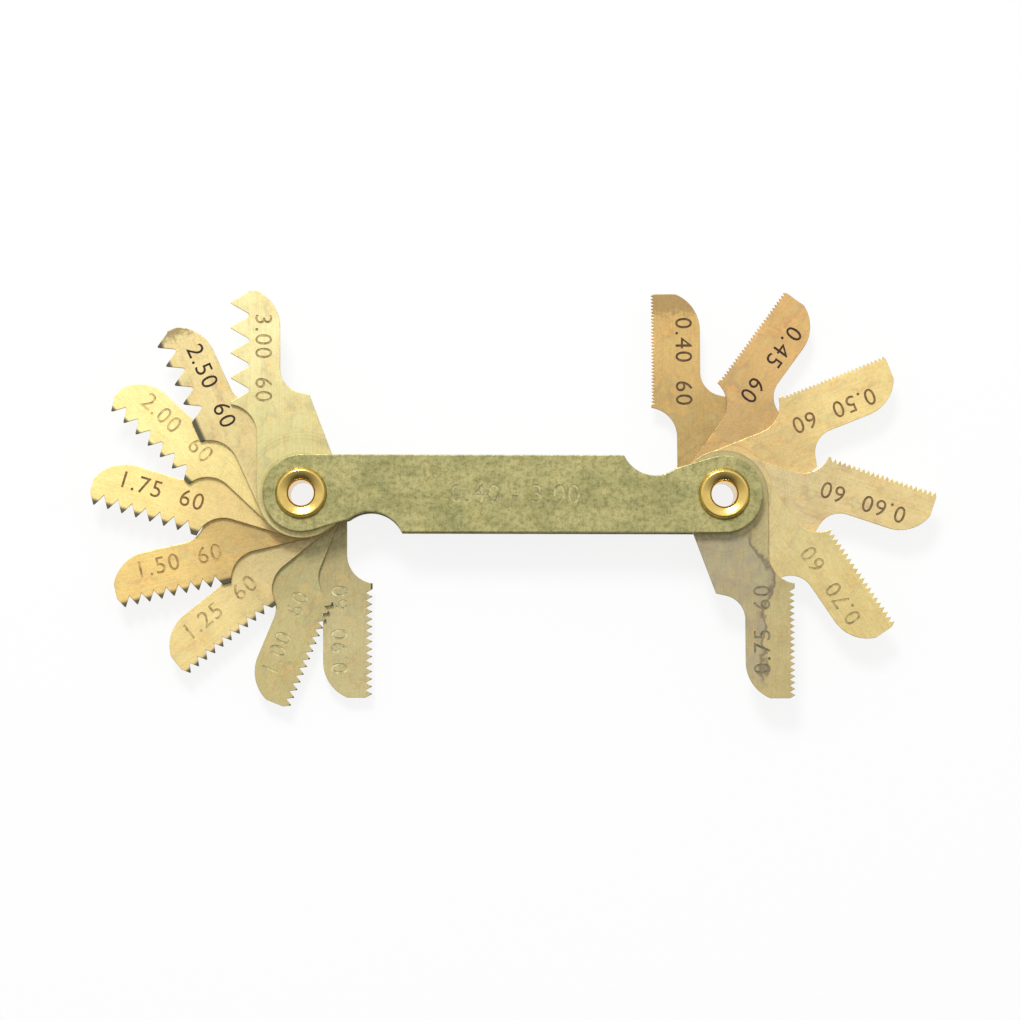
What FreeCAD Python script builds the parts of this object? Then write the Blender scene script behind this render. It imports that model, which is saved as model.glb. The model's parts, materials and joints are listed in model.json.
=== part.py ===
import FreeCAD, Part
import math
import os

import Sketcher
from FreeCAD import Vector

# Folding metric thread pitch gauge, millimetres and degrees.
#
# Two sheet-metal side plates are held apart by two hollow rivets (eyelets). A stack of thin leaves
# turns on each eyelet between the plates, and each leaf carries the profile of one thread pitch
# along one edge. The gauge lies on its two rivets, plates parallel to the floor, +X along the
# holder, +Z up. The leaves are fanned out; they fold back between the plates from opposite edges.

# Driving dimensions: name -> (value, meaning). Each size is written here once.
SIZES = {
    # holder plates
    "pivot_spacing": (50.5, "between the axes of the two eyelets"),
    "pivot_y": (0.64, "the holder's centre line, off the middle of the fanned-out footprint"),
    "plate_thickness": (0.8, "sheet of the side plates"),
    "plate_half_width": (4.62, "half the width of a plate, and the radius of its ends"),
    "scoop_radius": (4.07, "thumb scoop that bares the folded leaves' shoulders"),
    "scoop_x": (8.25, "scoop centre from its eyelet axis, along the plate"),
    "scoop_y": (6.28, "scoop centre from the plate's centre line"),
    "scoop_lead_angle": (17.0, "slope of the straight run from the round end to the scoop"),
    # eyelets
    "eyelet_bore_radius": (1.5, "hole through the eyelet"),
    "eyelet_wall": (0.35, "wall of the eyelet tube"),
    "head_radius": (3.08, "head on the front plate"),
    "head_height": (0.6, "head above the front plate"),
    "throat_radius": (1.85, "where the steep throat of the head opens into its funnel"),
    "throat_height": (0.4, "the same place, above the front plate"),
    "crown_radius": (2.62, "crown of the head, between its funnel and its outer slope"),
    "clinch_radius": (2.95, "turned-over end against the back plate"),
    "clinch_height": (0.55, "how far the turned-over end stands below the back plate"),
    "clinch_slope": (0.2, "how far the turned-over end draws in towards its flat land"),
    # fits
    "plate_fit": (0.02, "radial gap of a plate's hole round the eyelet"),
    "leaf_fit": (0.05, "radial gap of a leaf's hole round the eyelet, a running fit"),
    "sheet_gap": (0.03, "gap between neighbours in the stack"),
    # leaves
    "leaf_thickness": (0.45, "sheet of the leaves and of the packing washers"),
    "root_radius": (5.35, "round root of a leaf about its pivot"),
    "notch_length": (7.18, "straight stretch of the root beside the toothed edge"),
    "notch_radius": (3.5, "hollow that runs up to the inner end of the toothed edge"),
    "tooth_line": (8.43, "toothed edge from the pivot, across the blade"),
    "blade_end": (24.4, "square end of the blade from the pivot"),
    "back_line": (2.5, "plain back edge from the pivot, across the blade"),
    "tip_radius": (4.7, "round corner between the back edge and the end"),
    "tip_x": (20.04, "centre of the round corner, along the blade"),
    "neck_x": (14.95, "centre of the hollow behind the shoulder, along the blade"),
    "neck_radius": (2.9, "hollow between the back edge and the shoulder"),
    "shoulder_slope": (77.0, "the shoulder's short flat, from the blade's direction"),
    "hip_distance": (5.07, "the stop edge from the pivot"),
    "hip_angle": (20.5, "the stop edge from the blade's direction"),
    # 60 degree thread form, as shares of the pitch
    "thread_angle": (60.0, "included angle of the thread form"),
    "crest_share": (0.06, "flat left on a tooth's crest"),
    "fine_crest_share": (-0.02, "below zero: fine crests run out to an edge under the blank's line"),
    "root_share": (0.09, "radius in the root of a coarse tooth"),
    # washers that make up the shorter stack
    "washer_radius": (4.2, "packing washer"),
}

# Leaves from the front plate down: node, pitch, angle of the blade from +X.
LEFT_LEAVES = [
    ("leaf_3_00", 3.0, 90.4),
    ("leaf_2_50", 2.5, 114.7),
    ("leaf_2_00", 2.0, 136.9),
    ("leaf_1_75", 1.75, 163.4),
    ("leaf_1_50", 1.5, 193.2),
    ("leaf_1_25", 1.25, 218.7),
    ("leaf_1_00", 1.0, 247.7),
    ("leaf_0_90", 0.9, 270.1),
]
RIGHT_LEAVES = [
    ("leaf_0_75", 0.75, -89.6),
    ("leaf_0_70", 0.7, -55.7),
    ("leaf_0_60", 0.6, -18.3),
    ("leaf_0_50", 0.5, 21.8),
    ("leaf_0_45", 0.45, 54.1),
    ("leaf_0_40", 0.4, 90.5),
]
# Pitches from these up have rounded roots and flat crests; finer ones come to sharp edges.
ROUNDED_ROOT_FROM = 1.9
FLAT_CREST_FROM = 1.0
# The shorter stack is packed with one washer under the front plate and one on the back plate.
SLOTS = len(LEFT_LEAVES)

doc = FreeCAD.newDocument("thread_pitch_gauge")
sheet = doc.addObject("Spreadsheet::Sheet", "Dimensions")


def store(row, name, value, meaning):
    """Write one driving dimension into the sheet under its alias."""
    sheet.set(f"A{row}", meaning)
    sheet.set(f"B{row}", str(value))
    sheet.setAlias(f"B{row}", name)


def size(name):
    """A driving dimension's value, for a sketch's first guess."""
    return SIZES[name][0]


def fill_sheet():
    for node, pitch, angle in LEFT_LEAVES + RIGHT_LEAVES:
        SIZES[f"pitch_{node}"] = (pitch, f"thread pitch of {node}")
        SIZES[f"angle_{node}"] = (angle, f"direction of the blade of {node}")
    for row, (name, (value, meaning)) in enumerate(SIZES.items(), start=1):
        store(row, name, value, meaning)
    doc.recompute()


def cell(name):
    """The expression that reads a driving dimension."""
    return f"Dimensions.{name}"


# Heights in the stack, as expressions that start from the floor.
BACK_PLATE_Z = cell("clinch_height")
FIRST_SLOT_Z = f"{BACK_PLATE_Z} + {cell('plate_thickness')} + {cell('sheet_gap')}"
SLOT_STEP = f"({cell('leaf_thickness')} + {cell('sheet_gap')})"
FRONT_PLATE_Z = f"{FIRST_SLOT_Z} + {SLOTS} * {SLOT_STEP}"
HEAD_Z = f"{FRONT_PLATE_Z} + {cell('plate_thickness')}"


def slot_z(slot_from_top):
    """Height of the underside of a leaf or washer, counted down from the front plate."""
    return f"{FIRST_SLOT_Z} + {SLOTS - 1 - slot_from_top} * {SLOT_STEP}"


def stack_height():
    """Top of the front plate above the floor."""
    sheets = 2 * size("plate_thickness") + SLOTS * size("leaf_thickness")
    return size("clinch_height") + sheets + (SLOTS + 1) * size("sheet_gap")


def new_body(node):
    body = doc.addObject("PartDesign::Body", node)
    body.Label = node
    return body


def place(body, side, height, angle=None):
    """Bind a body's place: side -1 is the left pivot, 0 the middle, 1 the right pivot."""
    body.Placement.Rotation = FreeCAD.Rotation(Vector(0, 0, 1), 0)
    body.setExpression("Placement.Base.x", f"{side} * {cell('pivot_spacing')} / 2")
    body.setExpression("Placement.Base.y", cell("pivot_y"))
    body.setExpression("Placement.Base.z", height)
    if angle:
        body.setExpression("Placement.Rotation.Angle", f"{cell(angle)} * 1 deg")


def new_sketch(body, name, role="XY_Plane"):
    sketch = body.newObject("Sketcher::SketchObject", name)
    plane = next(item for item in body.Origin.OriginFeatures if item.Role == role)
    sketch.AttachmentSupport = [(plane, "")]
    sketch.MapMode = "FlatFace"
    return sketch


def line(sketch, start, end):
    return sketch.addGeometry(Part.LineSegment(Vector(*start, 0), Vector(*end, 0)), False)


def arc(sketch, centre, radius, start_deg, end_deg):
    """A counter-clockwise arc."""
    circle = Part.Circle(Vector(*centre, 0), Vector(0, 0, 1), radius)
    return sketch.addGeometry(
        Part.ArcOfCircle(circle, math.radians(start_deg), math.radians(end_deg)), False
    )


def circle(sketch, centre, radius):
    return sketch.addGeometry(Part.Circle(Vector(*centre, 0), Vector(0, 0, 1), radius), False)


def tie(sketch, kind, *refs):
    sketch.addConstraint(Sketcher.Constraint(kind, *refs))


def drive(sketch, name, expression, kind, *refs):
    """Add a dimension whose last reference is its first value, and bind it to an expression."""
    index = sketch.addConstraint(Sketcher.Constraint(kind, *refs))
    sketch.renameConstraint(index, name)
    sketch.setExpression(f"Constraints.{name}", expression)


def pad(body, sketch, name, thickness):
    feature = body.newObject("PartDesign::Pad", name)
    feature.Profile = sketch
    feature.setExpression("Length", thickness)
    doc.recompute()
    return feature


START, END, CENTRE = 1, 2, 3
ORIGIN = (-1, 1)
X_AXIS = -1


def polar(centre, radius, angle_deg):
    angle = math.radians(angle_deg)
    return (centre[0] + radius * math.cos(angle), centre[1] + radius * math.sin(angle))


def plate_outline(sketch):
    """Round-ended bar with a thumb scoop near each end, on opposite edges.

    The second half is the first turned half a turn about the middle of the plate.
    """
    half = size("pivot_spacing") / 2
    width = size("plate_half_width")
    lead = size("scoop_lead_angle")
    scoop_r = size("scoop_radius")
    scoop = (-half + size("scoop_x"), -size("scoop_y"))
    edge_deg = math.degrees(math.asin((size("scoop_y") - width) / scoop_r))
    edge_end = polar(scoop, scoop_r, edge_deg)
    lead_start = polar((-half, 0), width, lead - 90)
    # where the sloping run meets the scoop
    slope = math.radians(lead)
    offset_x = lead_start[0] - scoop[0]
    offset_y = lead_start[1] - scoop[1]
    along = offset_x * math.cos(slope) + offset_y * math.sin(slope)
    across = offset_y * math.cos(slope) - offset_x * math.sin(slope)
    reach = -along - math.sqrt(scoop_r**2 - across**2)
    lead_end = (lead_start[0] + reach * math.cos(slope), lead_start[1] + reach * math.sin(slope))
    lead_deg = math.degrees(math.atan2(lead_end[1] - scoop[1], lead_end[0] - scoop[0]))

    def turned(point):
        return (-point[0], -point[1])

    ends, leads, scoops, edges = [], [], [], []
    for turn in (0, 180):
        flip = turned if turn else (lambda point: point)
        ends.append(arc(sketch, flip((-half, 0)), width, 90 + turn, 270 + lead + turn))
        leads.append(line(sketch, flip(lead_start), flip(lead_end)))
        scoops.append(arc(sketch, flip(scoop), scoop_r, edge_deg + turn, lead_deg + turn))
        edges.append(line(sketch, flip(edge_end), flip((half, -width))))
    for this in (0, 1):
        other = 1 - this
        tie(sketch, "Tangent", ends[this], END, leads[this], START)
        tie(sketch, "Coincident", leads[this], END, scoops[this], END)
        tie(sketch, "Coincident", scoops[this], START, edges[this], START)
        tie(sketch, "Tangent", edges[this], END, ends[other], START)
        tie(sketch, "Horizontal", edges[this])
    tie(sketch, "PointOnObject", ends[0], CENTRE, X_AXIS)
    tie(sketch, "Symmetric", ends[0], CENTRE, ends[1], CENTRE, *ORIGIN)
    tie(sketch, "Symmetric", scoops[0], CENTRE, scoops[1], CENTRE, *ORIGIN)
    tie(sketch, "Equal", ends[0], ends[1])
    tie(sketch, "Equal", scoops[0], scoops[1])
    tie(sketch, "Parallel", leads[0], leads[1])
    drive(sketch, "spacing", cell("pivot_spacing"),
          "DistanceX", ends[0], CENTRE, ends[1], CENTRE, 2 * half)
    drive(sketch, "half_width", cell("plate_half_width"), "Radius", ends[0], width)
    drive(sketch, "scoop_radius", cell("scoop_radius"), "Radius", scoops[0], scoop_r)
    drive(sketch, "scoop_x", cell("scoop_x"),
          "DistanceX", ends[0], CENTRE, scoops[0], CENTRE, size("scoop_x"))
    drive(sketch, "scoop_y", cell("scoop_y"),
          "DistanceY", scoops[0], CENTRE, ends[0], CENTRE, size("scoop_y"))
    drive(sketch, "lead_angle", f"{cell('scoop_lead_angle')} * 1 deg", "Angle", leads[0], slope)
    hole_r = size("eyelet_bore_radius") + size("eyelet_wall") + size("plate_fit")
    hole = circle(sketch, (-half, 0), hole_r)
    twin = circle(sketch, (half, 0), hole_r)
    tie(sketch, "Coincident", hole, CENTRE, ends[0], CENTRE)
    tie(sketch, "Coincident", twin, CENTRE, ends[1], CENTRE)
    tie(sketch, "Equal", hole, twin)
    drive(sketch, "hole", f"{BARREL_RADIUS} + {cell('plate_fit')}", "Radius", hole, hole_r)


BARREL_RADIUS = f"{cell('eyelet_bore_radius')} + {cell('eyelet_wall')}"


def side_plate(node, height):
    body = new_body(node)
    sketch = new_sketch(body, f"{node}_outline")
    plate_outline(sketch)
    pad(body, sketch, f"{node}_blank", cell("plate_thickness"))
    place(body, 0, height)
    return body


def eyelet(node, side):
    """Hollow rivet: a tube with a funnel-mouthed head on top and a turned-over end below."""
    body = new_body(node)
    sketch = new_sketch(body, f"{node}_wall", "XZ_Plane")
    bore = size("eyelet_bore_radius")
    barrel = bore + size("eyelet_wall")
    head = size("head_radius")
    clinch = size("clinch_radius")
    seat = size("clinch_height")
    top = stack_height()
    crown = top + size("head_height")
    land_edge = clinch - size("clinch_slope")
    throat = (size("throat_radius"), top + size("throat_height"))
    profile = [
        (bore, 0), (bore, top), throat, (size("crown_radius"), crown), (head, top),
        (barrel, top), (barrel, seat), (clinch, seat), (land_edge, 0),
    ]
    corners = zip(profile, profile[1:] + profile[:1])
    sides = [line(sketch, start, end) for start, end in corners]
    for this, following in zip(sides, sides[1:] + sides[:1]):
        tie(sketch, "Coincident", this, END, following, START)
    (bore_line, throat_wall, funnel, _, head_seat,
     barrel_line, clinch_seat, _, land) = sides
    for item in (bore_line, barrel_line):
        tie(sketch, "Vertical", item)
    for item in (head_seat, clinch_seat, land):
        tie(sketch, "Horizontal", item)
    tie(sketch, "PointOnObject", land, START, X_AXIS)

    radii = {
        "bore": (bore_line, START, bore, cell("eyelet_bore_radius")),
        "barrel": (barrel_line, START, barrel, BARREL_RADIUS),
        "throat": (funnel, START, throat[0], cell("throat_radius")),
        "crown": (funnel, END, size("crown_radius"), cell("crown_radius")),
        "head": (head_seat, START, head, cell("head_radius")),
        "clinch": (clinch_seat, END, clinch, cell("clinch_radius")),
        "land_edge": (land, START, land_edge, f"{cell('clinch_radius')} - {cell('clinch_slope')}"),
    }
    heights = {
        "clinch_seat_z": (clinch_seat, START, seat, cell("clinch_height")),
        "head_seat_z": (head_seat, START, top, HEAD_Z),
        "throat_foot_z": (throat_wall, START, top, HEAD_Z),
        "throat_z": (funnel, START, throat[1], f"{HEAD_Z} + {cell('throat_height')}"),
        "crown_z": (funnel, END, crown, f"{HEAD_Z} + {cell('head_height')}"),
    }
    for kind, dimensions in (("DistanceX", radii), ("DistanceY", heights)):
        for name, (item, point, value, expression) in dimensions.items():
            drive(sketch, name, expression, kind, *ORIGIN, item, point, value)
    doc.recompute()

    turned = body.newObject("PartDesign::Revolution", f"{node}_tube")
    turned.Profile = sketch
    turned.ReferenceAxis = (sketch, ["V_Axis"])
    turned.Angle = 360
    body.Tip = turned
    place(body, side, "0")
    return body


def washer(node, side, slot):
    body = new_body(node)
    sketch = new_sketch(body, f"{node}_ring")
    hole_r = size("eyelet_bore_radius") + size("eyelet_wall") + size("leaf_fit")
    rim = circle(sketch, (0, 0), size("washer_radius"))
    hole = circle(sketch, (0, 0), hole_r)
    for ring in (rim, hole):
        tie(sketch, "Coincident", ring, CENTRE, *ORIGIN)
    drive(sketch, "rim", cell("washer_radius"), "Radius", rim, size("washer_radius"))
    drive(sketch, "hole", f"{BARREL_RADIUS} + {cell('leaf_fit')}", "Radius", hole, hole_r)
    pad(body, sketch, f"{node}_disc", cell("leaf_thickness"))
    place(body, side, slot_z(slot))
    return body


def leaf_outline(sketch):
    """Blade along +X with its toothed edge on the +Y side, the pivot at the origin."""
    root = size("root_radius")
    tooth = size("tooth_line")
    back = size("back_line")
    end = size("blade_end")
    tip_r = size("tip_radius")
    tip = (size("tip_x"), back + tip_r)
    notch_r = size("notch_radius")
    notch = (size("notch_length"), root + notch_r)
    neck_r = size("neck_radius")
    neck = (size("neck_x"), back - neck_r)
    slope = size("shoulder_slope")
    hip_deg = size("hip_angle")
    hip = size("hip_distance")

    inner_deg = -math.degrees(math.asin((notch[1] - tooth) / notch_r))
    inner_corner = polar(notch, notch_r, inner_deg)
    tip_deg = -math.degrees(math.acos((end - tip[0]) / tip_r))
    tip_corner = polar(tip, tip_r, tip_deg)
    shoulder_top = polar(neck, neck_r, slope + 90)
    # the stop edge and the shoulder's flat, as lines in normal form, cross at the hip
    hip_normal = math.radians(hip_deg - 90)
    flat = math.radians(slope)
    top_depth = (shoulder_top[0] * math.cos(hip_normal) + shoulder_top[1] * math.sin(hip_normal))
    flat_rate = math.cos(flat) * math.cos(hip_normal) + math.sin(flat) * math.sin(hip_normal)
    flat_length = (top_depth - hip) / flat_rate
    hip_corner = (shoulder_top[0] - flat_length * math.cos(flat),
                  shoulder_top[1] - flat_length * math.sin(flat))
    heel_deg = 270 + hip_deg - math.degrees(math.acos(hip / root))
    heel = polar((0, 0), root, heel_deg)

    root_arc = arc(sketch, (0, 0), root, 90, heel_deg)
    notch_line = line(sketch, (0, root), (notch[0], root))
    notch_arc = arc(sketch, notch, notch_r, 270, 360 + inner_deg)
    tooth_edge = line(sketch, inner_corner, (end, tooth))
    end_line = line(sketch, (end, tooth), tip_corner)
    tip_arc = arc(sketch, tip, tip_r, 270, 360 + tip_deg)
    back_edge = line(sketch, (tip[0], back), (neck[0], back))
    neck_arc = arc(sketch, neck, neck_r, 90, slope + 90)
    shoulder = line(sketch, shoulder_top, hip_corner)
    hip_line = line(sketch, hip_corner, heel)

    tie(sketch, "Coincident", root_arc, CENTRE, *ORIGIN)
    tie(sketch, "Tangent", root_arc, START, notch_line, START)
    tie(sketch, "Tangent", notch_line, END, notch_arc, START)
    tie(sketch, "Coincident", notch_arc, END, tooth_edge, START)
    tie(sketch, "Coincident", tooth_edge, END, end_line, START)
    tie(sketch, "Coincident", end_line, END, tip_arc, END)
    tie(sketch, "Tangent", tip_arc, START, back_edge, START)
    tie(sketch, "Tangent", back_edge, END, neck_arc, START)
    tie(sketch, "Tangent", neck_arc, END, shoulder, START)
    tie(sketch, "Coincident", shoulder, END, hip_line, START)
    tie(sketch, "Coincident", hip_line, END, root_arc, END)
    for item in (notch_line, tooth_edge, back_edge):
        tie(sketch, "Horizontal", item)
    tie(sketch, "Vertical", end_line)

    drive(sketch, "root_radius", cell("root_radius"), "Radius", root_arc, root)
    drive(sketch, "notch_radius", cell("notch_radius"), "Radius", notch_arc, notch_r)
    drive(sketch, "notch_length", cell("notch_length"),
          "DistanceX", *ORIGIN, notch_arc, CENTRE, notch[0])
    drive(sketch, "tooth_line", cell("tooth_line"),
          "DistanceY", *ORIGIN, tooth_edge, END, tooth)
    drive(sketch, "blade_end", cell("blade_end"), "DistanceX", *ORIGIN, tooth_edge, END, end)
    drive(sketch, "back_line", cell("back_line"), "DistanceY", *ORIGIN, back_edge, END, back)
    drive(sketch, "tip_radius", cell("tip_radius"), "Radius", tip_arc, tip_r)
    drive(sketch, "tip_x", cell("tip_x"), "DistanceX", *ORIGIN, tip_arc, CENTRE, tip[0])
    drive(sketch, "neck_x", cell("neck_x"), "DistanceX", *ORIGIN, neck_arc, CENTRE, neck[0])
    drive(sketch, "neck_radius", cell("neck_radius"), "Radius", neck_arc, neck_r)
    drive(sketch, "shoulder_slope", f"(180 + {cell('shoulder_slope')}) * 1 deg",
          "Angle", shoulder, math.radians(180 + slope))
    drive(sketch, "hip_angle", f"(180 + {cell('hip_angle')}) * 1 deg",
          "Angle", hip_line, math.radians(180 + hip_deg))
    drive(sketch, "hip_distance", cell("hip_distance"), "Distance", *ORIGIN, hip_line, hip)

    hole_r = size("eyelet_bore_radius") + size("eyelet_wall") + size("leaf_fit")
    hole = circle(sketch, (0, 0), hole_r)
    tie(sketch, "Coincident", hole, CENTRE, *ORIGIN)
    drive(sketch, "hole", f"{BARREL_RADIUS} + {cell('leaf_fit')}", "Radius", hole, hole_r)


def tooth_space(sketch, pitch_name):
    """The first space between teeth: a V centred on the blade's end line.

    The V opens past the toothed edge, so that the cut always breaks through. In a coarse pitch
    it leaves a narrow flat on each crest and its root is rounded.
    """
    pitch = size(pitch_name)
    crest_name = "crest_share" if pitch >= FLAT_CREST_FROM else "fine_crest_share"
    half_angle = math.radians(size("thread_angle") / 2)
    half_gap = (1 - size(crest_name)) * pitch / 2
    apex = (size("blade_end"), size("tooth_line") - half_gap / math.tan(half_angle))
    mouth_y = size("tooth_line") + pitch / 2
    mouth_half = (mouth_y - apex[1]) * math.tan(half_angle)

    left = line(sketch, (apex[0] - mouth_half, mouth_y), apex)
    right = line(sketch, apex, (apex[0] + mouth_half, mouth_y))
    mouth = line(sketch, (apex[0] + mouth_half, mouth_y), (apex[0] - mouth_half, mouth_y))
    tie(sketch, "Coincident", right, END, mouth, START)
    tie(sketch, "Coincident", mouth, END, left, START)
    tie(sketch, "Horizontal", mouth)
    if pitch < ROUNDED_ROOT_FROM:
        tie(sketch, "Coincident", left, END, right, START)
    else:
        radius = size("root_share") * pitch
        turn = math.degrees(half_angle)
        centre = (apex[0], apex[1] + radius / math.sin(half_angle))
        root = arc(sketch, centre, radius, 180 + turn, 360 - turn)
        tie(sketch, "Tangent", left, END, root, START)
        tie(sketch, "Tangent", root, END, right, START)
        drive(sketch, "root_radius", f"{cell('root_share')} * {cell(pitch_name)}",
              "Radius", root, radius)

    half_thread = f"({cell('thread_angle')} / 2)"
    rise = f"({cell(pitch_name)} / 2 + {cell(pitch_name)} * (1 - {cell(crest_name)}) / 2"
    mouth_half_width = f"{rise} / tan({half_thread} * 1 deg)) * tan({half_thread} * 1 deg)"
    drive(sketch, "right_flank", f"(90 - {half_thread}) * 1 deg",
          "Angle", right, math.pi / 2 - half_angle)
    drive(sketch, "left_flank", f"(270 + {half_thread}) * 1 deg",
          "Angle", left, 3 * math.pi / 2 + half_angle)
    drive(sketch, "mouth_y", f"{cell('tooth_line')} + {cell(pitch_name)} / 2",
          "DistanceY", *ORIGIN, mouth, START, mouth_y)
    drive(sketch, "mouth_right", f"{cell('blade_end')} + {mouth_half_width}",
          "DistanceX", *ORIGIN, mouth, START, apex[0] + mouth_half)
    drive(sketch, "mouth_width", f"2 * {mouth_half_width}",
          "DistanceX", mouth, END, mouth, START, 2 * mouth_half)


def leaf(node, side, slot):
    """One leaf: a pierced blank whose edge is cut with the thread form from its end inwards."""
    pitch_name = f"pitch_{node}"
    body = new_body(node)
    outline = new_sketch(body, f"{node}_outline")
    leaf_outline(outline)
    blank = pad(body, outline, f"{node}_blank", cell("leaf_thickness"))
    space = new_sketch(body, f"{node}_space")
    tooth_space(space, pitch_name)
    cut = body.newObject("PartDesign::Pocket", f"{node}_cut")
    cut.Profile = space
    cut.Type = "ThroughAll"
    cut.Midplane = True
    doc.recompute()
    row = body.newObject("PartDesign::LinearPattern", f"{node}_row")
    row.Originals = [cut]
    row.Direction = (outline, ["H_Axis"])
    row.Reversed = True
    row.Mode = "Spacing"
    row.setExpression("Offset", cell(pitch_name))
    tooth_run = (f"({cell('blade_end')} - {cell('notch_length')} - {cell('notch_radius')}"
                 f" - {cell(pitch_name)} / 2)")
    row.setExpression("Occurrences", f"floor({tooth_run} / {cell(pitch_name)}) + 1")
    body.Tip = row
    place(body, side, slot_z(slot), f"angle_{node}")
    doc.recompute()
    if row.Shape.Volume >= cut.Shape.Volume or cut.Shape.Volume >= blank.Shape.Volume:
        raise RuntimeError(f"{node}: the tooth spaces cut nothing")
    return body


def check(parts):
    for item in doc.Objects:
        if "Invalid" in item.State or "Error" in item.State:
            raise RuntimeError(f"{item.Label} failed: {item.State}")
        if item.TypeId == "Sketcher::SketchObject" and item.solve() != 0:
            raise RuntimeError(f"{item.Label} doesn't solve")
    for body in parts:
        if body.Shape.isNull() or not body.Shape.isValid() or len(body.Shape.Solids) != 1:
            raise RuntimeError(f"{body.Label} has no sound solid")


def export(parts):
    os.makedirs("parts", exist_ok=True)
    for body in parts:
        body.Shape.exportStep(f"parts/{body.Label}.step")
        print(f"{body.Label}: {body.Shape.Volume:.2f} mm3, {len(body.Shape.Faces)} faces")


fill_sheet()
parts = [
    side_plate("back_plate", BACK_PLATE_Z),
    side_plate("front_plate", FRONT_PLATE_Z),
    eyelet("left_eyelet", -1),
    eyelet("right_eyelet", 1),
    washer("upper_washer", 1, 0),
    washer("lower_washer", 1, SLOTS - 1),
]
parts += [leaf(node, -1, slot) for slot, (node, _, _) in enumerate(LEFT_LEAVES)]
parts += [leaf(node, 1, slot) for slot, (node, _, _) in enumerate(RIGHT_LEAVES, start=1)]
doc.recompute()
check(parts)
export(parts)
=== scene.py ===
import bmesh
import bpy
import json
import math
from mathutils import Matrix, Vector


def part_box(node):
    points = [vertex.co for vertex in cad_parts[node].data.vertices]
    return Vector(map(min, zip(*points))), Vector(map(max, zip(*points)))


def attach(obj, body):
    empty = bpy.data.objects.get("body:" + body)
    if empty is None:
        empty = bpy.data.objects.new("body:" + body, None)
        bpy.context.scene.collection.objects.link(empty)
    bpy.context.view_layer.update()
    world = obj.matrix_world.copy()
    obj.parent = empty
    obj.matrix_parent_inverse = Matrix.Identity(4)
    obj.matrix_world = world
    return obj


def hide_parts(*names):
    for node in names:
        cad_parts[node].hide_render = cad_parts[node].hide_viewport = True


# Looks for the folding thread pitch gauge: satin yellow sheet metal, stamped figures, bright eyelets,
# a white table and soft light that comes mostly from beyond the gauge (+Y). The scene is in metres.

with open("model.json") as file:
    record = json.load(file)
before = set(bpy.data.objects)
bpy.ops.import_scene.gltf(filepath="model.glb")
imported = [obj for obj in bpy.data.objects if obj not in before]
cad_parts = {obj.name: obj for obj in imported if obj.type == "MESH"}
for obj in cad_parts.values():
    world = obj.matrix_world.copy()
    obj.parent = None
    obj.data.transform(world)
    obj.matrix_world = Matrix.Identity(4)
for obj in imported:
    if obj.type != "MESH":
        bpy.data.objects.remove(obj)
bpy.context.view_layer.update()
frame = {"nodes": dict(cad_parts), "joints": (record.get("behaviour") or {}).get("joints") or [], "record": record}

MM = 0.001

# A leaf's own frame: its pivot is the origin, +X runs out along the blade, +Y to the toothed edge.
# A leaf is folded away when its blade points along the holder, less the angle of its stop edge.
FOLDED_BLADE = {"left": 339.5, "right": 159.5}
TOOTH_LINE = 8.43

# Stamped figures, millimetres: the middle of a leaf's line across its blade, and where the line starts.
FIGURE_LINE = 4.45
FIGURE_START = 21.6
FIGURE_HEIGHT = 2.1
LEGEND_HEIGHT = 2.3
LEGEND_HALF_LENGTH = 7.5
STAMP_DEPTH = 0.07
# The font's size is this many times the height of its figures.
FONT_SIZE = 1.38
FIGURE_SPACING = 1.12

# Rounded edges, millimetres. A fine leaf's are narrower, so that its teeth keep their form.
PLATE_EDGE = 0.1
LEAF_EDGE = 0.08
EDGE_OF_PITCH = 0.05

# The camera looks almost straight down: millimetres, degrees.
CAMERA_AT = (-4.23, -23.2, 425.1)
CAMERA_AIM = (-0.33, -1.35, 6.0)
CAMERA_ROLL = 0.115
CAMERA_LENS = 124.2

# Table and light: metres and watts. The table lies a hair under the gauge's feet.
TABLE_HALF = 1.5
TABLE_DROP = 0.01 * MM
WHITE = 0.975
WHITE_SHARE = 0.88
NEAR_LIGHT = 0.08
FAR_LIGHT = 0.94
LAMP_AT = (-0.13, 0.5, 0.6)
LAMP_POWER = 5.2
LAMP_SIZE = 0.2

# How strongly the rolling grain shows on the leaves, and how much of a sheet's look is bare metal.
GRAIN = 0.55
METAL_SHARE = 0.5


def linear(color):
    """Linear colour from an 8-bit display colour."""
    def channel(value):
        value /= 255
        return value / 12.92 if value <= 0.04045 else ((value + 0.055) / 1.055) ** 2.4
    return tuple(channel(value) for value in color) + (1.0,)


# ---------------------------------------------------------------- materials

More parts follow.
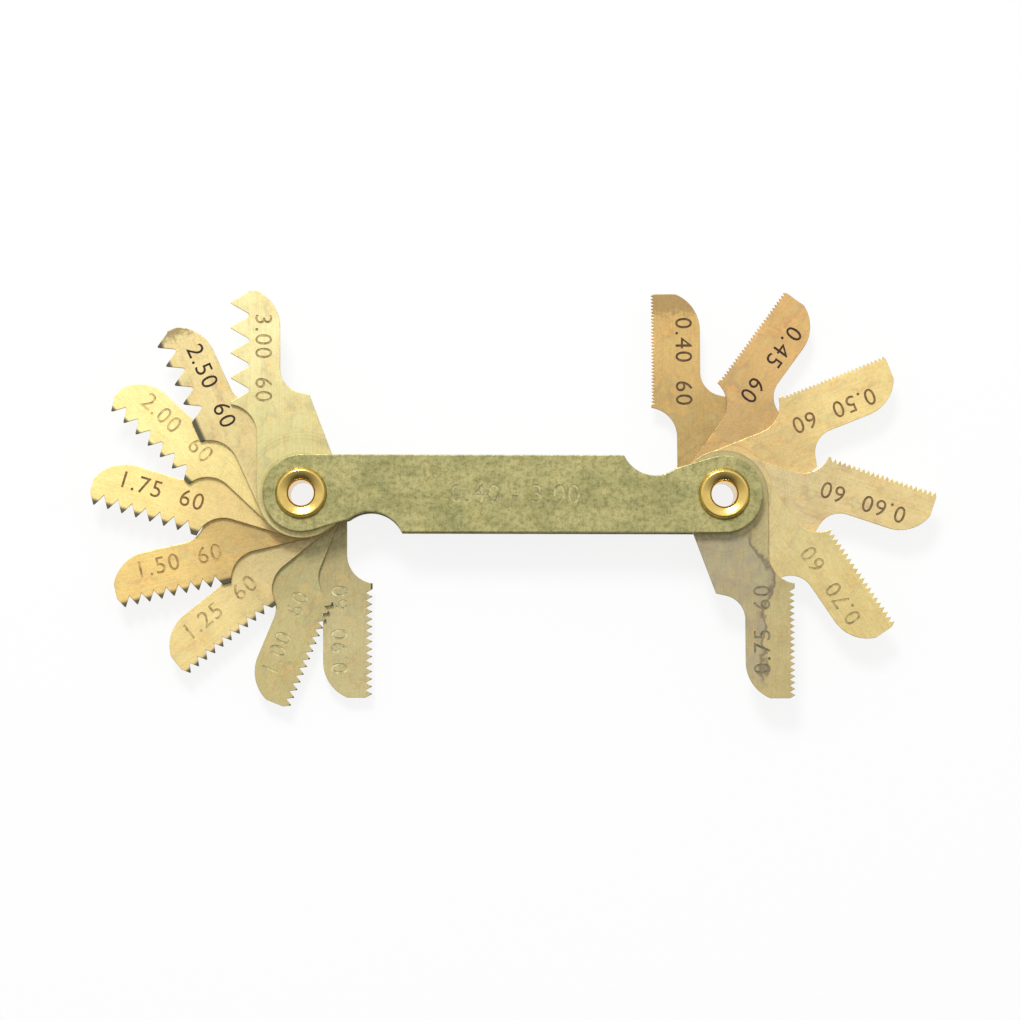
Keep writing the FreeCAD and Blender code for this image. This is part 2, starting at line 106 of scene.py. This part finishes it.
class Nodes:
    """A material's node tree, with short calls that add nodes and link them."""

    def __init__(self, name):
        self.material = bpy.data.materials.new(name)
        self.material.use_nodes = True
        self.tree = self.material.node_tree
        self.shader = self.tree.nodes["Principled BSDF"]

    def add(self, kind, inputs=(), **settings):
        node = self.tree.nodes.new("ShaderNode" + kind)
        for name, value in settings.items():
            setattr(node, name, value)
        for key, value in dict(inputs).items():
            self.feed(node.inputs[key], value)
        return node

    def feed(self, socket, value):
        if isinstance(value, bpy.types.NodeSocket):
            self.tree.links.new(value, socket)
        else:
            socket.default_value = value

    def place(self, pivot, turn):
        """Coordinates in millimetres from a pivot, in a frame that is turned with the blade."""
        coords = self.add("TexCoord").outputs["Object"]
        settings = {"Vector": coords, "Location": pivot, "Rotation": (0, 0, turn),
                    "Scale": (MM, MM, MM)}
        return self.add("Mapping", settings, vector_type="TEXTURE").outputs["Vector"]

    def math(self, operation, first, second=0.0, clamp=False):
        node = self.add("Math", {0: first, 1: second}, operation=operation, use_clamp=clamp)
        return node.outputs[0]

    def split(self, vector):
        node = self.add("SeparateXYZ", {0: vector})
        return node.outputs[0], node.outputs[1], node.outputs[2]

    def stretch(self, vector, scale):
        return self.add("Mapping", {"Vector": vector, "Scale": scale}).outputs["Vector"]

    def noise(self, vector, scale, detail=3.0, roughness=0.55):
        inputs = {"Vector": vector, "Scale": scale, "Detail": detail, "Roughness": roughness}
        return self.add("TexNoise", inputs).outputs["Fac"]

    def ramp(self, value, low, high, start=0.0, end=1.0):
        inputs = {"Value": value, "From Min": low, "From Max": high, "To Min": start, "To Max": end}
        return self.add("MapRange", inputs, interpolation_type="SMOOTHSTEP").outputs["Result"]

    def mix(self, amount, first, second, blend="MIX"):
        node = self.add("Mix", data_type="RGBA", blend_type=blend)
        self.feed(node.inputs[0], amount)
        self.feed(node.inputs[6], first)
        self.feed(node.inputs[7], second)
        return node.outputs[2]

    def bands(self, value, stops):
        """A colour ramp: stops are (place, 8-bit colour)."""
        node = self.add("ValToRGB", {"Fac": value})
        ramp = node.color_ramp
        while len(ramp.elements) < len(stops):
            ramp.elements.new(0.5)
        for element, (place, color) in zip(ramp.elements, stops):
            element.position = place
            element.color = linear(color)
        return node.outputs["Color"]

    def bump(self, height, strength, distance):
        inputs = {"Height": height, "Strength": strength, "Distance": distance}
        return self.add("Bump", inputs).outputs["Normal"]


# Temper and oil colours that stain yellow passivated sheet, in the order in which they follow.
STAIN_COLORS = [
    (0.0, (218, 200, 142)), (0.2, (224, 186, 118)), (0.36, (198, 148, 102)), (0.5, (160, 126, 118)),
    (0.62, (132, 130, 136)), (0.76, (152, 164, 134)), (1.0, (208, 204, 146)),
]


def sheet_metal(name, pivot, turn, root, tip, stain=0.3, tip_stain=None, tooth_shade=None, streak=0.0):
    """Passivated sheet: tint along the blade (partly painted light), rolling grain, blotches, stains, a leaf's own
    marks and painted shade on its tooth points.
    """
    nodes = Nodes(name)
    place = nodes.place(pivot, turn)
    x, y, _ = nodes.split(place)

    # painted light and the sheet's own tone: the colour runs from root to tip, and each leaf's pair of colours
    # also stands in for how brightly its tilt catches the light
    along = nodes.ramp(x, 5.0, 20.0)
    color = nodes.mix(along, linear(root), linear(tip))

    # broad blotches, then mottling, then fine specks
    blotch = nodes.noise(place, 0.3, 3.0)
    color = nodes.mix(nodes.ramp(blotch, 0.35, 0.7, 0.0, 0.5), color, (0.82, 0.78, 0.72, 1), "MULTIPLY")
    speckle = nodes.noise(place, 2.2, 4.0, 0.65)
    color = nodes.mix(nodes.ramp(speckle, 0.38, 0.68, 0.0, 0.5), color, (0.80, 0.74, 0.62, 1), "MULTIPLY")
    specks = nodes.noise(place, 5.0, 2.0, 0.7)
    color = nodes.mix(nodes.ramp(specks, 0.5, 0.66, 0.0, 0.45), color, (0.80, 0.74, 0.58, 1), "MULTIPLY")
    warm = nodes.noise(nodes.stretch(place, (1.0, 1.7, 1.0)), 0.8, 4.0)
    color = nodes.mix(nodes.ramp(warm, 0.5, 0.75, 0.0, 0.3), color, (1.04, 0.88, 0.70, 1), "MULTIPLY")

    # grain from rolling and rubbing, along the blade
    lines = nodes.noise(nodes.stretch(place, (0.12, 3.4, 1.0)), 2.2, 4.0, 0.7)
    color = nodes.mix(nodes.ramp(lines, 0.35, 0.7, 0.0, GRAIN), color, (0.80, 0.77, 0.70, 1), "MULTIPLY")

    # arcs rubbed round the pivot by the neighbouring leaf
    reach = nodes.add("VectorMath", {0: place}, operation="LENGTH").outputs["Value"]
    ring = nodes.noise(nodes.add("CombineXYZ", {0: reach}).outputs[0], 1.6, 3.0, 0.75)
    near = nodes.ramp(reach, 9.0, 12.5, 1.0, 0.0)
    rubbed = nodes.math("MULTIPLY", nodes.ramp(ring, 0.48, 0.66), near)
    color = nodes.mix(nodes.math("MULTIPLY", rubbed, 0.4), color, (0.66, 0.60, 0.52, 1), "MULTIPLY")

    # stains: contour lines of a slow noise, in temper colours, broken up into small patches
    film = nodes.noise(place, 0.55, 4.0, 0.55)
    patch = nodes.noise(nodes.stretch(place, (0.6, 1.0, 1.0)), 0.6, 4.0, 0.6)
    where = nodes.math("MULTIPLY", nodes.ramp(patch, 0.46, 0.66), 0.7 * stain, clamp=True)
    tempered = nodes.bands(nodes.ramp(film, 0.3, 0.7), STAIN_COLORS)
    color = nodes.mix(where, color, nodes.mix(0.5, tempered, color, "OVERLAY"))

    if streak:
        # a blue-grey oil film from the holder's edge down the back half of the blade, with a dark rim
        wander = nodes.noise(nodes.stretch(place, (0.5, 0.7, 1.0)), 1.1, 4.0)
        rise = nodes.ramp(x, 5.0, 10.2, 3.7, 6.0)
        rim = nodes.math("SUBTRACT", rise, nodes.ramp(x, 10.6, 15.0, 0.0, 1.0))
        rim = nodes.math("ADD", rim, nodes.ramp(wander, 0.25, 0.75, -0.6, 0.6))
        beyond = nodes.math("SUBTRACT", y, rim)
        start = nodes.math("MULTIPLY", nodes.ramp(x, 3.9, 5.6), nodes.ramp(x, 21.6, 23.4, 1.0, 0.0))
        film_over = nodes.math("MULTIPLY", nodes.ramp(beyond, -0.4, 0.1, 1.0, 0.0), start)
        thick = nodes.math("MULTIPLY", film_over, nodes.ramp(wander, 0.3, 0.7, 0.3 * streak, streak))
        color = nodes.mix(thick, color, linear((132, 126, 130)))
        edge = nodes.math("MULTIPLY", film_over, nodes.ramp(beyond, -0.95, -0.3))
        color = nodes.mix(nodes.math("MULTIPLY", edge, 1.6 * streak), color, linear((86, 76, 66)))
    if tip_stain:
        first, amount, tint = tip_stain
        ragged = nodes.math("ADD", x, nodes.ramp(speckle, 0.3, 0.7, -0.5, 0.5))
        color = nodes.mix(nodes.ramp(ragged, first, first + 1.4, 0.0, amount), color, linear(tint))
    if tooth_shade:
        # painted shade: the points of the coarse teeth are darkened, standing in for the shade along the toothed
        # edge
        painted_tooth_shade = nodes.ramp(y, TOOTH_LINE - tooth_shade, TOOTH_LINE - 0.45 * tooth_shade, 0.0, 0.92)
        color = nodes.mix(painted_tooth_shade, color, linear((58, 56, 48)))

    shader = nodes.shader
    nodes.feed(shader.inputs["Base Color"], color)
    shader.inputs["Metallic"].default_value = METAL_SHARE
    nodes.feed(shader.inputs["Roughness"], nodes.ramp(speckle, 0.3, 0.75, 0.36, 0.52))
    relief = nodes.math("ADD", nodes.math("MULTIPLY", lines, 0.6), speckle)
    nodes.feed(shader.inputs["Normal"], nodes.bump(relief, 0.3, 0.04 * MM))
    return nodes.material


def holder_metal(name):
    """Olive passivated plate, rubbed in specks and along its length."""
    nodes = Nodes(name)
    place = nodes.place((0, 0, 0), 0)
    color = linear((183, 175, 118))
    blotch = nodes.noise(nodes.stretch(place, (0.6, 1.0, 1.0)), 0.4, 4.0)
    color = nodes.mix(nodes.ramp(blotch, 0.35, 0.68, 0.0, 0.9), color, (0.68, 0.72, 0.68, 1), "MULTIPLY")
    speckle = nodes.noise(place, 1.5, 5.0, 0.7)
    color = nodes.mix(nodes.ramp(speckle, 0.4, 0.66, 0.0, 0.9), color, (0.58, 0.57, 0.50, 1), "MULTIPLY")
    specks = nodes.noise(place, 4.5, 2.0, 0.7)
    color = nodes.mix(nodes.ramp(specks, 0.48, 0.66, 0.0, 0.6), color, (0.68, 0.66, 0.58, 1), "MULTIPLY")
    lines = nodes.noise(nodes.stretch(place, (3.0, 0.2, 1.0)), 1.6, 4.0, 0.7)
    color = nodes.mix(nodes.ramp(lines, 0.4, 0.7, 0.0, 0.5), color, (0.80, 0.80, 0.74, 1), "MULTIPLY")
    glow = nodes.noise(place, 0.42, 2.0)
    color = nodes.mix(nodes.ramp(glow, 0.55, 0.75, 0.0, 0.5), color, (1.10, 1.02, 0.86, 1), "MULTIPLY")
    shader = nodes.shader
    nodes.feed(shader.inputs["Base Color"], color)
    shader.inputs["Metallic"].default_value = METAL_SHARE
    nodes.feed(shader.inputs["Roughness"], nodes.ramp(speckle, 0.3, 0.75, 0.4, 0.56))
    nodes.feed(shader.inputs["Normal"], nodes.bump(speckle, 0.3, 0.04 * MM))
    return nodes.material


def eyelet_brass(name):
    """Bright drawn brass, mottled, with faint scratches."""
    nodes = Nodes(name)
    place = nodes.place((0, 0, 0), 0)
    shade = nodes.noise(place, 0.9, 3.0)
    color = nodes.mix(shade, linear((240, 214, 132)), linear((214, 176, 86)))
    shader = nodes.shader
    nodes.feed(shader.inputs["Base Color"], color)
    shader.inputs["Metallic"].default_value = 1.0
    scratch = nodes.noise(place, 6.0, 4.0, 0.7)
    nodes.feed(shader.inputs["Roughness"], nodes.ramp(scratch, 0.3, 0.7, 0.14, 0.26))
    nodes.feed(shader.inputs["Normal"], nodes.bump(scratch, 0.15, 0.02 * MM))
    return nodes.material


def stamp_metal(name, color):
    """The bottom of the stamped figures: dirt stays there, and where its colour is lighter than the sheet it is a
    painted glint.
    """
    nodes = Nodes(name)
    place = nodes.place((0, 0, 0), 0)
    dirt = nodes.noise(place, 1.4, 4.0, 0.7)
    dark = tuple(0.72 * value for value in color)
    nodes.feed(nodes.shader.inputs["Base Color"],
               nodes.mix(nodes.ramp(dirt, 0.35, 0.65), linear(color), linear(dark)))
    nodes.shader.inputs["Metallic"].default_value = 0.4
    nodes.feed(nodes.shader.inputs["Roughness"], nodes.ramp(dirt, 0.3, 0.7, 0.5, 0.7))
    return nodes.material


# ---------------------------------------------------------------- shapes

def dress(node, material):
    """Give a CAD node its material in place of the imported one."""
    data = frame["nodes"][node].data
    data.materials.clear()
    data.materials.append(material)
    return frame["nodes"][node]


def soften(piece, width):
    """Round the punched edges of a sheet by a few hundredths of a millimetre."""
    weld = piece.modifiers.new("weld", "WELD")
    weld.merge_threshold = 0.001 * MM
    merge = piece.modifiers.new("merge_flats", "DECIMATE")
    merge.decimate_type = "DISSOLVE"
    merge.angle_limit = math.radians(0.5)
    bevel = piece.modifiers.new("rolled_edge", "BEVEL")
    bevel.width = width * MM
    bevel.segments = 2
    bevel.limit_method = "ANGLE"
    bevel.angle_limit = math.radians(50)
    bevel.use_clamp_overlap = False


def figures(name, text, height, top, to_world, material):
    """A solid in the shape of the figures, sunk into the sheet whose top is at `top`."""
    curve = bpy.data.curves.new(name, "FONT")
    curve.body = text
    curve.size = height * FONT_SIZE * MM
    curve.extrude = STAMP_DEPTH * MM
    curve.space_character = FIGURE_SPACING
    curve.resolution_u = 4
    curve.align_x = "LEFT"
    letters = bpy.data.objects.new(name + "_text", curve)
    bpy.context.scene.collection.objects.link(letters)
    bpy.context.view_layer.update()
    evaluated = letters.evaluated_get(bpy.context.evaluated_depsgraph_get())
    mesh = bpy.data.meshes.new_from_object(evaluated)
    bpy.data.objects.remove(letters)
    solid = bmesh.new()
    solid.from_mesh(mesh)
    bmesh.ops.remove_doubles(solid, verts=solid.verts, dist=0.002 * MM)
    bmesh.ops.recalc_face_normals(solid, faces=solid.faces)
    middle = max(vertex.co.y for vertex in solid.verts) / 2
    bmesh.ops.transform(solid, verts=solid.verts,
                        matrix=Matrix.Translation((0, 0, top)) @ to_world
                        @ Matrix.Translation((0, -middle, 0)))
    solid.to_mesh(mesh)
    solid.free()
    mesh.materials.clear()
    mesh.materials.append(material)
    stamp = bpy.data.objects.new(name, mesh)
    bpy.context.scene.collection.objects.link(stamp)
    stamp.hide_render = True
    stamp.hide_viewport = True
    return stamp


def press(piece, stamp, body):
    """Sink the stamp into the piece, and let both move together."""
    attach(stamp, body)
    cut = piece.modifiers.new("stamped_figures", "BOOLEAN")
    cut.operation = "DIFFERENCE"
    cut.solver = "MANIFOLD"
    cut.material_mode = "TRANSFER"
    cut.object = stamp


def lathe(name, profile, centre, segments=96):
    """A closed ring from a closed profile of (radius, height) points."""
    turned = bmesh.new()
    rings = []
    for step in range(segments):
        angle = 2 * math.pi * step / segments
        rings.append([turned.verts.new((centre[0] + radius * math.cos(angle),
                                        centre[1] + radius * math.sin(angle), height))
                      for radius, height in profile])
    for this, following in zip(rings, rings[1:] + rings[:1]):
        for corner in range(len(profile)):
            after = (corner + 1) % len(profile)
            turned.faces.new((this[corner], following[corner], following[after], this[after]))
    bmesh.ops.recalc_face_normals(turned, faces=turned.faces)
    for face in turned.faces:
        face.smooth = True
    mesh = bpy.data.meshes.new(name)
    turned.to_mesh(mesh)
    turned.free()
    piece = bpy.data.objects.new(name, mesh)
    bpy.context.scene.collection.objects.link(piece)
    return piece


def bend(centre, radius, start, end, steps=8):
    """Points of an arc in a profile, from start to end degrees."""
    angles = [math.radians(start + (end - start) * step / steps) for step in range(steps + 1)]
    return [(centre[0] + radius * math.cos(a), centre[1] + radius * math.sin(a)) for a in angles]


def eyelet_profile(node, holder_bottom, holder_top):
    """Tube, rolled head with its throat and funnel, and the end turned over at the back plate."""
    low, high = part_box(node)
    bore = next(mount for mount in frame["record"]["mounts"] if mount["name"] == node + "_bore")
    bore_r = bore["dims"]["r_mm"] * MM
    head_r = (high.x - low.x) / 2
    wall = 0.35 * MM
    lip = 0.2 * MM
    crown = 0.24 * MM
    crown_r = head_r - 0.44 * MM
    clinch_r = head_r - 0.13 * MM
    roll = 0.34 * MM
    corner = 0.1 * MM
    throat_start = holder_top - 0.1 * MM
    throat_bend = 0.75 * MM
    points = bend((bore_r + lip, low.z + lip), lip, 270, 180, 5)
    points += [(bore_r, throat_start)]
    points += bend((bore_r + throat_bend, throat_start), throat_bend, 172, 128, 5)[1:]
    points += bend((crown_r, high.z - crown), crown, 112, 16, 9)
    points += bend((head_r - corner, holder_top + corner), corner, 8, -90, 4)
    points += [(bore_r + wall, holder_top), (bore_r + wall, holder_bottom)]
    points += bend((clinch_r - corner, holder_bottom - corner), corner, 90, 0, 4)
    points += bend((clinch_r - roll, low.z + roll), roll, 0, -90, 7)
    return points


# ---------------------------------------------------------------- the gauge

# A leaf's display colours at its root and at its tip (partly its own tone, partly painted light for how brightly
# its slight tilt catches the light), in its figures (dirt in the recess, and a painted glint on the lighter ones),
# how much it is stained, and its
# marks: how far the painted shade on its tooth points reaches (mm), a film of oil, and a stain on the tip (from x,
# amount, tint).
LOOKS = {
    "leaf_3_00": dict(root=(214, 205, 146), tip=(240, 229, 173), recess_dirt_and_glint=(186, 166, 108), stain=0.4),
    "leaf_2_50": dict(root=(220, 202, 146), tip=(230, 212, 154), recess_dirt_and_glint=(54, 38, 22),
                      stain=0.5, tooth_shade=0.9, tip_stain=(22.6, 0.6, (70, 50, 30))),
    "leaf_2_00": dict(root=(236, 218, 150), tip=(253, 239, 167), recess_dirt_and_glint=(220, 194, 126),
                      stain=0.15, tooth_shade=0.75),
    "leaf_1_75": dict(root=(230, 206, 142), tip=(255, 234, 158), recess_dirt_and_glint=(140, 106, 60),
                      stain=0.15, tooth_shade=0.95),
    "leaf_1_50": dict(root=(198, 172, 112), tip=(243, 212, 136), recess_dirt_and_glint=(200, 164, 98),
                      stain=0.4, tooth_shade=0.9),
    "leaf_1_25": dict(root=(206, 190, 138), tip=(242, 220, 154), recess_dirt_and_glint=(204, 178, 116),
                      stain=0.3, tooth_shade=0.75),
    "leaf_1_00": dict(root=(182, 174, 126), tip=(201, 188, 134), recess_dirt_and_glint=(206, 194, 142),
                      stain=0.35, tooth_shade=0.3),
    "leaf_0_90": dict(root=(176, 166, 120), tip=(202, 191, 142), recess_dirt_and_glint=(214, 204, 154),
                      stain=0.4, tooth_shade=0.3),
    "leaf_0_75": dict(root=(188, 177, 130), tip=(198, 183, 132), recess_dirt_and_glint=(146, 136, 104),
                      stain=0.3, streak=0.4),
    "leaf_0_70": dict(root=(218, 203, 148), tip=(226, 206, 142), recess_dirt_and_glint=(196, 176, 118), stain=0.3),
    "leaf_0_60": dict(root=(215, 198, 150), tip=(230, 208, 150), recess_dirt_and_glint=(140, 112, 78), stain=0.5),
    "leaf_0_50": dict(root=(216, 190, 132), tip=(240, 217, 150), recess_dirt_and_glint=(142, 108, 66), stain=0.45),
    "leaf_0_45": dict(root=(196, 166, 112), tip=(214, 177, 116), recess_dirt_and_glint=(60, 40, 28), stain=0.4),
    "leaf_0_40": dict(root=(182, 157, 101), tip=(210, 177, 113), recess_dirt_and_glint=(104, 78, 50), stain=0.35,
                      tip_stain=(21.3, 0.5, (112, 92, 62))),
}

pivots = {}
for joint in frame["joints"]:
    node = joint["child"]
    side = "left" if joint["pos_m"][0] < 0 else "right"
    pivot = Vector(joint["pos_m"])
    pivots[side] = pivot
    blade = math.radians(FOLDED_BLADE[side] - joint["range_deg"][1])
    pitch = node.removeprefix("leaf_").replace("_", ".")
    look = dict(LOOKS[node])
    # the recess colour: dirt on most leaves, a painted glint on 1_00 and 0_90, whose figures are lighter than
    # their sheet
    recess_dirt_and_glint = stamp_metal(node + "_figures", look.pop("recess_dirt_and_glint"))
    metal = sheet_metal(node + "_metal", (pivot.x, pivot.y, 0), blade, **look)
    piece = dress(node, metal)
    soften(piece, min(LEAF_EDGE, EDGE_OF_PITCH * max(float(pitch), 1.0)))
    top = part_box(node)[1].z
    # the figures read from the tip towards the pivot, with their feet towards the teeth
    to_world = (Matrix.Translation((pivot.x, pivot.y, 0)) @ Matrix.Rotation(blade, 4, "Z")
                @ Matrix.Translation((FIGURE_START * MM, FIGURE_LINE * MM, 0))
                @ Matrix.Rotation(math.pi, 4, "Z"))
    stamp = figures(node + "_stamp", pitch + "  60", FIGURE_HEIGHT, top, to_world, recess_dirt_and_glint)
    press(piece, stamp, node)

holder = holder_metal("holder_metal")
for node in ("front_plate", "back_plate"):
    soften(dress(node, holder), PLATE_EDGE)
plate_low, plate_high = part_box("front_plate")
plate_middle = (plate_low + plate_high) / 2
# the holder's figures are coloured a little lighter than the plate: a painted glint
legend = figures("holder_stamp", "0.40 - 3.00", LEGEND_HEIGHT, plate_high.z,
                 Matrix.Translation((plate_middle.x - LEGEND_HALF_LENGTH * MM, plate_middle.y, 0)),
                 stamp_metal("holder_figures", (186, 178, 126)))
press(frame["nodes"]["front_plate"], legend, "holder")

WASHER_TINT = (190, 176, 122)
washer_metal = sheet_metal("washer_metal", (*pivots["right"].xy, 0), 0, WASHER_TINT, WASHER_TINT)
for node in ("upper_washer", "lower_washer"):
    soften(dress(node, washer_metal), LEAF_EDGE)

brass = eyelet_brass("eyelet_brass")
back_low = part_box("back_plate")[0].z
for side, pivot in pivots.items():
    node = side + "_eyelet"
    ring = lathe(node + "_turned", eyelet_profile(node, back_low, plate_high.z), pivot)
    ring.data.materials.append(brass)
    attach(ring, "holder")
    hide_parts(node)


# ---------------------------------------------------------------- table, light and camera

def white_to_camera(nodes, shader, output):
    """Camera, glossy and transmission rays see white, with a share of the lit surface in it."""
    path = nodes.add("LightPath").outputs
    seen = nodes.math("MAXIMUM", path["Is Camera Ray"], path["Is Glossy Ray"])
    seen = nodes.math("MAXIMUM", seen, path["Is Transmission Ray"])
    glow = nodes.add("Emission", {"Color": (WHITE, WHITE, WHITE, 1), "Strength": 1.0})
    share = nodes.math("MULTIPLY", seen, WHITE_SHARE)
    mixed = nodes.add("MixShader", {0: share, 1: shader, 2: glow.outputs[0]})
    nodes.feed(output, mixed.outputs[0])


def table():
    floor_mesh = bpy.data.meshes.new("table")
    corners = [(side_x * TABLE_HALF, side_y * TABLE_HALF, 0)
               for side_x, side_y in ((-1, -1), (1, -1), (1, 1), (-1, 1))]
    floor_mesh.from_pydata(corners, [], [(0, 1, 2, 3)])
    floor = bpy.data.objects.new("table", floor_mesh)
    floor.location.z = -TABLE_DROP
    bpy.context.scene.collection.objects.link(floor)
    nodes = Nodes("table_white")
    nodes.shader.inputs["Base Color"].default_value = (0.9, 0.9, 0.9, 1)
    nodes.shader.inputs["Roughness"].default_value = 0.8
    output = nodes.tree.nodes["Material Output"].inputs["Surface"]
    white_to_camera(nodes, nodes.shader.outputs[0], output)
    floor_mesh.materials.append(nodes.material)


def room():
    """A white room: bright overhead and beyond the gauge, dimmer on the near side."""
    world = bpy.data.worlds.new("room")
    bpy.context.scene.world = world
    world.use_nodes = True
    tree = world.node_tree
    background = tree.nodes["Background"]
    background.inputs["Color"].default_value = (1, 1, 1, 1)
    direction = tree.nodes.new("ShaderNodeTexCoord").outputs["Generated"]
    split = tree.nodes.new("ShaderNodeSeparateXYZ")
    tree.links.new(direction, split.inputs[0])
    far = tree.nodes.new("ShaderNodeMapRange")
    far.inputs["From Min"].default_value = -0.6
    far.inputs["From Max"].default_value = 0.1
    far.inputs["To Min"].default_value = NEAR_LIGHT
    far.inputs["To Max"].default_value = FAR_LIGHT
    tree.links.new(split.outputs[1], far.inputs["Value"])
    path = tree.nodes.new("ShaderNodeLightPath")
    mix = tree.nodes.new("ShaderNodeMix")
    tree.links.new(path.outputs["Is Camera Ray"], mix.inputs[0])
    tree.links.new(far.outputs[0], mix.inputs[2])
    mix.inputs[3].default_value = WHITE
    tree.links.new(mix.outputs[0], background.inputs["Strength"])


def lamp(name, energy, size, at, aim):
    light = bpy.data.lights.new(name, "AREA")
    light.energy = energy
    light.size = size
    lamp_object = bpy.data.objects.new(name, light)
    lamp_object.location = at
    lamp_object.rotation_euler = (Vector(aim) - Vector(at)).to_track_quat("-Z", "Y").to_euler()
    bpy.context.scene.collection.objects.link(lamp_object)


def camera():
    data = bpy.data.cameras.new("camera")
    data.lens = CAMERA_LENS
    data.clip_start = 0.01
    at = Vector(CAMERA_AT) * MM
    aim = Vector(CAMERA_AIM) * MM
    back = (at - aim).normalized()
    right = Vector((0, 1, 0)).cross(back).normalized()
    turn = Matrix((right, back.cross(right), back)).transposed().to_4x4()
    seen = bpy.data.objects.new("camera", data)
    seen.matrix_world = Matrix.Translation(at) @ turn @ Matrix.Rotation(math.radians(CAMERA_ROLL), 4, "Z")
    bpy.context.scene.collection.objects.link(seen)
    bpy.context.scene.camera = seen


table()
room()
lamp("far_softbox", LAMP_POWER, LAMP_SIZE, LAMP_AT, (0, 0, 0))
camera()
bpy.context.scene.view_settings.view_transform = "Standard"
